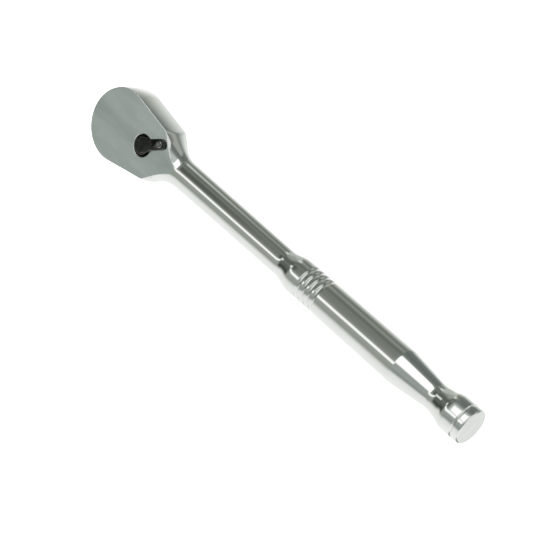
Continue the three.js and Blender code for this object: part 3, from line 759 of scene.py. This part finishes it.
def chrome_plate(name):
    """Chrome over polished steel, with faint waves, hairlines along the handle and a few specks.

    The head's flat faces are satin, painted darker down the middle as a reflection; painted highlights brighten
    their rims, and the lever's recess is painted shade, nearly black.
    """
    material, shader = new_material(name)
    place = shader.millimetres()
    x, y, z = shader.add("ShaderNodeSeparateXYZ", {0: place}).outputs
    height = shader.math("ABSOLUTE", shader.math("SUBTRACT", z, AXIS_Z))
    face = shader.ramp(height, HALF_HEIGHT - 0.06, HALF_HEIGHT - 0.01)
    face = shader.math("MULTIPLY", face, shader.math("LESS_THAN", x, HEAD_END_X))
    # Painted shade: the wall and floor of the lever's recess are painted nearly black and rougher.
    from_lever = shader.distance(x, y, (LEVER_X, 0.0))
    recess = shader.math("LESS_THAN", from_lever, COUNTERBORE["radius"] + 0.03)
    recess = shader.math("MULTIPLY", recess, shader.ramp(z, TOP_Z - 0.1, TOP_Z - 0.3))
    # Painted highlight: a brighter, rougher line just inside the edges of the flat faces.
    rim = shader.ramp(height, HALF_HEIGHT - 0.3, HALF_HEIGHT - 0.2)
    rim = shader.math("MULTIPLY", rim, shader.math("SUBTRACT", 1.0, face))
    rim = shader.math("MULTIPLY", rim, shader.ramp(x, 31.5, 29.5))  # none at the faces' tips

    waves = shader.noise(place, 0.16, 1.0)
    hairlines = shader.noise(shader.millimetres((0.06, 1.0, 1.0)), 7.0, 2.0)
    cloud = shader.noise(shader.millimetres((0.35, 1.0, 1.0)), 0.16, 3.0, 0.55)
    cloud = shader.ramp(cloud, 0.3, 0.7)
    # Painted reflection: the flat faces are darker down their middle, lighter off it.
    off_middle = shader.ramp(shader.math("ABSOLUTE", y), 0.5, 5.5)
    grain = shader.noise(place, 2.2, 3.0, 0.6)
    specks = shader.ramp(shader.noise(place, 3.2, 1.0), 0.71, 0.76)

    side_tint = shader.mixed(cloud, colour(0.765, 0.785, 0.755), colour(0.80, 0.815, 0.79))
    # Random mottling together with the painted reflection streak sets the face's tint.
    mottle_and_painted_streak = shader.math(
        "ADD", shader.math("MULTIPLY", cloud, 0.5), shader.math("MULTIPLY", off_middle, 0.5)
    )
    face_tint = shader.mixed(mottle_and_painted_streak, colour(0.72, 0.76, 0.77), colour(0.93, 0.975, 0.99))
    tint = shader.mixed(face, side_tint, face_tint)
    tint = shader.mixed(shader.math("MULTIPLY", specks, 0.2), tint, colour(0.45, 0.46, 0.44))
    # Painted highlight on the rims of the flat faces.
    tint = shader.mixed(rim, tint, colour(0.98, 1.0, 0.97))
    # Painted shade in the lever's recess.
    tint = shader.mixed(recess, tint, colour(0.02, 0.02, 0.018))
    polished = shader.math("ADD", 0.03, shader.math("MULTIPLY", hairlines, 0.04))
    satin = shader.ramp(grain, 0.3, 0.7, 0.17, 0.26)
    rough = shader.add("ShaderNodeMix", {0: face, 2: polished, 3: satin}).outputs[0]
    rough = shader.math("ADD", rough, shader.math("MULTIPLY", rim, 0.4))
    rough = shader.math("ADD", rough, shader.math("MULTIPLY", recess, 0.4))

    normal = shader.bump(waves, 14.0)
    normal = shader.bump(hairlines, 0.5, normal)
    normal = shader.bump(shader.math("MULTIPLY", grain, face), 1.2, normal)
    finish_surface(shader, Base_Color=tint, Metallic=1.0, Roughness=rough, Normal=normal)
    return material


def machined_steel(name, tone, roughness, grain=(1.0, 1.0, 1.0), darkness=0.5):
    """Bare steel with the fine grain of machining, and duller patches where oil has dried on it."""
    material, shader = new_material(name)
    place = shader.millimetres()
    lines = shader.noise(shader.millimetres(grain), 9.0, 3.0)
    cloud = shader.noise(place, 0.5, 4.0, 0.6)
    light = colour(*(tone * c for c in (1.0, 1.01, 1.0)))
    dark = colour(*(tone * darkness * c for c in (1.0, 1.0, 0.98)))
    tint = shader.mixed(shader.ramp(cloud, 0.35, 0.75, 0.0, 0.45), light, dark)
    rough = shader.ramp(cloud, 0.3, 0.7, roughness, roughness + 0.12)
    rough = shader.math("ADD", rough, shader.math("MULTIPLY", lines, 0.08))
    normal = shader.bump(lines, 2.0)
    finish_surface(shader, Base_Color=tint, Metallic=1.0, Roughness=rough, Normal=normal)
    return material


def black_oxide(name):
    """Oiled black oxide on steel: a dark mirror with a faint sandy skin and lighter patches.

    The middle and the rim of the lever's nub are painted light grey, patchily, as highlights.
    """
    material, shader = new_material(name)
    place = shader.millimetres()
    x, y, z = shader.add("ShaderNodeSeparateXYZ", {0: place}).outputs
    # Painted highlight: a light grey spot in the middle of the lever's nub and a ring at its rim, patchy.
    nub = (LEVER_X + NUB["x"] * math.cos(LEVER_THROW), NUB["x"] * math.sin(LEVER_THROW))
    from_nub = shader.distance(x, y, nub)
    off_rim = shader.math("ABSOLUTE", shader.math("SUBTRACT", from_nub, NUB["radius"] - 0.25))
    patchy = shader.ramp(shader.noise(place, 1.3, 2.0), 0.3, 0.6, 0.5, 1.0)
    middle, rim = shader.ramp(from_nub, 0.95, 0.55), shader.ramp(off_rim, 0.2, 0.05)
    raised = shader.ramp(z, TAB["top"] + 0.1, TAB["top"] + 0.25)
    nub_highlight = shader.math("MULTIPLY", shader.math("MAXIMUM", middle, rim), raised)
    nub_highlight = shader.math("MULTIPLY", nub_highlight, patchy)
    skin = shader.noise(place, 2.5, 3.0)
    cloud = shader.ramp(shader.noise(place, 0.45, 3.0), 0.35, 0.7)
    tint = shader.mixed(cloud, colour(0.03, 0.031, 0.03), colour(0.062, 0.06, 0.055))
    # The nub's painted highlights.
    tint = shader.mixed(nub_highlight, tint, colour(0.42, 0.43, 0.41))
    rough = shader.ramp(cloud, 0.0, 1.0, 0.16, 0.27)
    finish_surface(
        shader, Base_Color=tint, Metallic=1.0, Roughness=rough, Normal=shader.bump(skin, 3.0),
        Coat_Weight=0.35, Coat_Roughness=0.12,
    )
    return material


def rubber(name):
    """Nitrile rubber with a matte, slightly dusty skin."""
    material, shader = new_material(name)
    place = shader.millimetres()
    skin = shader.noise(place, 6.0, 3.0)
    tint = shader.mixed(skin, colour(0.012, 0.012, 0.012), colour(0.03, 0.03, 0.029))
    rough = shader.ramp(skin, 0.3, 0.7, 0.65, 0.85)
    finish_surface(shader, Base_Color=tint, Roughness=rough, Normal=shader.bump(skin, 6.0))
    return material


# ---- the wrench ---------------------------------------------------------------------------------

MATERIALS = {
    "polished_chrome": chrome_plate("polished_chrome"),
    "satin_steel": machined_steel("satin_steel", 0.62, 0.24, (0.08, 1.0, 1.0)),
    "drive_steel": machined_steel("drive_steel", 0.64, 0.2, (1.0, 1.0, 0.1)),
    "pawl_steel": machined_steel("pawl_steel", 0.28, 0.35, (1.0, 1.0, 0.15)),
    "spring_steel": machined_steel("spring_steel", 0.55, 0.22),
    "black_oxide": black_oxide("black_oxide"),
    "black_rubber": rubber("black_rubber"),
}


def place_piece(piece, body, node, slot):
    """Gives a new piece its material, the body it moves with and the CAD node it stands for."""
    piece.data.materials.clear()
    piece.data.materials.append(MATERIALS[slot])
    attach(piece, body)
    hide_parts(node)


place_piece(make_forging(), "handle", "handle_forging", "polished_chrome")
place_piece(make_cover(), "handle", "cover_plate", "satin_steel")
for i, spot in enumerate(SCREW_PLACES, 1):
    place_piece(make_screw(i, spot), "handle", f"cover_screw_{i}", "black_oxide")
place_piece(make_gear(), "drive", "drive_gear", "drive_steel")
place_piece(make_ball(), "ball", "detent_ball", "spring_steel")
place_piece(make_lever(), "lever", "reverse_lever", "black_oxide")
add_springs()

# The pieces inside the head keep their CAD shape, with their edges softened.
node_slots = {part["node"]: part["material_slot"] for part in frame["record"]["subparts"]}
for name, node in frame["nodes"].items():
    if node.hide_render:
        continue
    node.data.materials.clear()
    node.data.materials.append(MATERIALS[node_slots[name]])
    soften = node.modifiers.new("soft edges", "BEVEL")
    soften.width = SOFT_EDGE * MM
    soften.segments = 2
    soften.limit_method = "ANGLE"
    soften.angle_limit = math.radians(50)

# ---- studio -------------------------------------------------------------------------------------

# Brightness of the surroundings by the angle about the handle: 0 is straight up, 90 towards +Y,
# 180 straight down and -90 towards -Y. FORWARD is seen in directions close to the head's end of
# the handle's axis, HEADWARD in those that lean to the head, and KNOBWARD in all others.
# These stops, and the panels and casts below, come from the photograph: its tones were sorted by
# the direction that each place on the wrench mirrors, then rounded and adjusted. They put the
# streaks where the photograph has them, and are neither a real studio nor a plain one.
FORWARD = [
    (-180, 1.0), (-120, 1.02), (-60, 0.92), (-52, 0.84), (-44, 0.6), (-37, 0.34), (-30, 0.16),
    (-22, 0.08), (-10, 0.065), (-1, 0.13), (18, 0.15), (36, 0.2), (54, 0.14), (70, 0.15), (82, 0.26),
    (91, 0.34), (100, 0.41), (122, 0.4), (132, 0.45), (148, 0.52), (156, 0.55), (162, 0.62),
    (168, 0.78), (176, 0.95), (180, 1.0),
]
HEADWARD = [
    (-180, 1.0), (-140, 0.99), (-110, 1.03), (-62, 0.95), (-52, 0.85), (-45, 0.7), (-38, 0.47),
    (-30, 0.36), (-12, 0.39), (0, 0.42), (14, 0.42), (22, 0.32), (30, 0.26), (42, 0.24), (66, 0.22),
    (77, 0.175), (84, 0.19), (91, 0.25), (98, 0.32), (107, 0.29), (115, 0.21), (122, 0.22),
    (130, 0.31), (138, 0.43), (146, 0.58), (154, 0.77), (162, 0.94), (180, 1.04),
]
KNOBWARD = [
    (-180, 0.93), (-155, 0.9), (-135, 1.0), (-100, 1.04), (-62, 0.96), (-48, 0.92), (-40, 0.76),
    (-31, 0.36), (-22, 0.33), (-12, 0.4), (4, 0.4), (10, 0.38), (20, 0.6), (64, 0.6), (72, 0.34),
    (82, 0.22), (90, 0.19), (106, 0.17), (116, 0.2), (124, 0.21), (133, 0.2), (138, 0.28),
    (142, 0.39), (147, 0.51), (152, 0.62), (158, 0.76), (165, 0.9), (180, 0.93),
]
# The part of the direction along X over which each band of brightness gives way to the next.
FORWARD_TO_HEADWARD = (-0.73, -0.61)
HEADWARD_TO_KNOBWARD = (-0.42, -0.37)
# Casts: the shares of the red and of the blue that the dark greys lose.
OLIVE = (0.11, 0.14)
TEAL = (0.12, 0.08)
WARM = (0.07, 0.13)
# Panels over that, each with the angles and the reach along X at which it fades in and out, its
# brightness and its cast. A bend moves its two borders by the angle with the square of X - x0.
PANELS = [
    {"angles": (-147, -137, -100, -80), "reach": (0.02, 0.11, 0.4, 0.6), "light": 0.42, "cast": TEAL},
    {"angles": (108, 117, 145, 158), "reach": (-0.77, -0.72, -0.6, -0.56), "light": 0.57,
     "cast": OLIVE},
    {"angles": (26, 31, 42, 48), "reach": (-0.765, -0.74, -0.66, -0.62), "light": 0.85, "cast": OLIVE},
    {"angles": (40, 55, 74, 88), "reach": (0.38, 0.5, 2, 3), "light": 0.85, "cast": WARM,
     "bend": (0, 1000), "x0": 0.4},
    {"angles": (94, 106, 122, 140), "reach": (-0.2, -0.1, 0.4, 0.55), "light": 0.43, "cast": WARM},
    {"angles": (22, 33, 52, 66), "reach": (-0.66, -0.6, -0.53, -0.46), "light": 0.12, "cast": OLIVE},
    {"angles": (88, 99, 106, 116), "reach": (-0.7, -0.63, -0.57, -0.48), "light": 0.8, "cast": OLIVE},
    {"angles": (-4, 3, 11, 18), "reach": (-0.72, -0.62, -0.33, -0.2), "light": 1.15, "cast": OLIVE,
     "bend": (300, 300), "x0": -0.45},
    {"angles": (13, 27, 66, 78), "reach": (-0.388, -0.37, -0.14, -0.06), "light": 1.45, "cast": OLIVE,
     "bend": (0, -206), "x0": -0.1},
]

BACKDROP = colour(0.93, 0.93, 0.93)
FLOOR_HALF = 3.0  # of its side, in metres
FLOOR_GAP = 0.0002  # below the wrench, in metres
# The camera looks down on the lever's side from beyond the head's +Y side, turned so that the
# handle runs away to the right. It was fitted to the wrench's outline in the photograph. Its place
# is in metres and its lens in millimetres.
CAMERA = {
    "place": (0.45043, 0.25357, 0.60764),
    "forward": (-0.48130, -0.35333, -0.80219),
    "right": (0.65441, 0.46403, -0.59701),
    "lens": 124.1,
}


def tinted(light, cast):
    """A grey that loses some red and some blue as it gets darker."""
    shade = max(0.0, 1 - light)
    return colour(light * (1 - cast[0] * shade), light, light * (1 - cast[1] * shade))


def light_ramp(shader, turn, band, cast):
    """A band's colour at a turn, which is the angle as a share of the whole way round."""
    ramp = shader.add("ShaderNodeValToRGB", {0: turn})
    stops = ramp.color_ramp.elements
    for index, (angle, light) in enumerate(band):
        position = (angle + 180) / 360
        stop = stops[index] if index < 2 else stops.new(position)  # a new ramp has two stops
        stop.position = position
        stop.color = tinted(light, cast)
    return ramp.outputs[0]


def panel(shader, x, around, below, spec):
    """A lit or dark panel with soft borders over what is below."""
    offset = shader.squared(x, spec.get("x0", 0.0))
    low_bend, high_bend = spec.get("bend", (0, 0))
    from_low = shader.math("SUBTRACT", around, shader.math("MULTIPLY", offset, low_bend))
    from_high = shader.math("SUBTRACT", around, shader.math("MULTIPLY", offset, high_bend))
    start, full, fading, end = spec["angles"]
    share = shader.math(
        "MULTIPLY", shader.ramp(from_low, start, full), shader.ramp(from_high, end, fading)
    )
    start, full, fading, end = spec["reach"]
    share = shader.math("MULTIPLY", share, shader.ramp(x, start, full))
    share = shader.math("MULTIPLY", share, shader.ramp(x, end, fading))
    return shader.mixed(share, below, tinted(spec["light"], spec["cast"]))


def studio_light():
    """What the metal mirrors, by the direction alone. Seen straight, it is plain and pale."""
    world = bpy.data.worlds.new("studio")
    bpy.context.scene.world = world
    world.use_nodes = True
    shader = Shader(world.node_tree)
    direction = shader.add("ShaderNodeTexCoord").outputs["Generated"]
    x, y, z = shader.add("ShaderNodeSeparateXYZ", {0: direction}).outputs
    around = shader.math("DEGREES", shader.math("ARCTAN2", y, z))
    turn = shader.add("ShaderNodeMapRange", {0: around, 1: -180.0, 2: 180.0}).outputs[0]
    forward = light_ramp(shader, turn, FORWARD, OLIVE)
    headward = light_ramp(shader, turn, HEADWARD, OLIVE)
    knobward = light_ramp(shader, turn, KNOBWARD, TEAL)
    lit = shader.mixed(shader.ramp(x, *FORWARD_TO_HEADWARD), forward, headward)
    lit = shader.mixed(shader.ramp(x, *HEADWARD_TO_KNOBWARD), lit, knobward)
    for spec in PANELS:
        lit = panel(shader, x, around, lit, spec)
    seen = shader.add("ShaderNodeLightPath").outputs["Is Camera Ray"]
    lit = shader.mixed(seen, lit, BACKDROP)
    background = shader.add("ShaderNodeBackground", {"Color": lit, "Strength": 1.0})
    output = shader.add("ShaderNodeOutputWorld")
    shader.tree.links.new(background.outputs[0], output.inputs["Surface"])


def area_light(name, place, aim, size, power):
    """A large soft light that metal doesn't mirror, so it lights matte things only."""
    light = bpy.data.lights.new(name, "AREA")
    light.shape = "SQUARE"
    light.size = size
    light.energy = power
    made = bpy.data.objects.new(name, light)
    bpy.context.scene.collection.objects.link(made)
    made.location = place
    made.rotation_euler = (Vector(aim) - Vector(place)).to_track_quat("-Z", "Y").to_euler()
    made.visible_glossy = False


def make_floor():
    """A plain pale table top under the wrench, which metal doesn't mirror."""
    half, level = FLOOR_HALF, cad_bounds[0].z - FLOOR_GAP
    rim = [(-half, -half, level), (half, -half, level), (half, half, level), (-half, half, level)]
    mesh = bpy.data.meshes.new("floor")
    mesh.from_pydata(rim, [], [(0, 1, 2, 3)])
    floor = bpy.data.objects.new("floor", mesh)
    bpy.context.scene.collection.objects.link(floor)
    material, shader = new_material("floor_paint")
    grain = shader.noise(shader.millimetres(), 0.02, 2.0)
    tint = shader.mixed(grain, colour(0.90, 0.90, 0.90), colour(0.92, 0.92, 0.92))
    finish_surface(
        shader, Base_Color=tint, Roughness=0.9, Specular_IOR_Level=0.1,
        Emission_Color=colour(1.0, 1.0, 1.0), Emission_Strength=0.75,
    )
    mesh.materials.append(material)
    floor.visible_glossy = False


def make_camera():
    """The camera at the photograph's viewing angle."""
    data = bpy.data.cameras.new("camera")
    data.lens = CAMERA["lens"]
    data.sensor_width = 36
    data.clip_start = 0.05
    camera = bpy.data.objects.new("camera", data)
    bpy.context.scene.collection.objects.link(camera)
    forward = Vector(CAMERA["forward"]).normalized()
    right = Vector(CAMERA["right"])
    right = (right - forward * right.dot(forward)).normalized()
    up = right.cross(forward)
    turn = Matrix((right, up, -forward)).transposed()
    camera.matrix_world = Matrix.Translation(CAMERA["place"]) @ turn.to_4x4()
    bpy.context.scene.camera = camera


studio_light()
area_light("overhead", (0.1, 0.0, 1.6), (0.1, 0.0, 0.0), 2.4, 30)
make_floor()
make_camera()
bpy.context.scene.view_settings.view_transform = "Standard"

bpy.context.view_layer.update()
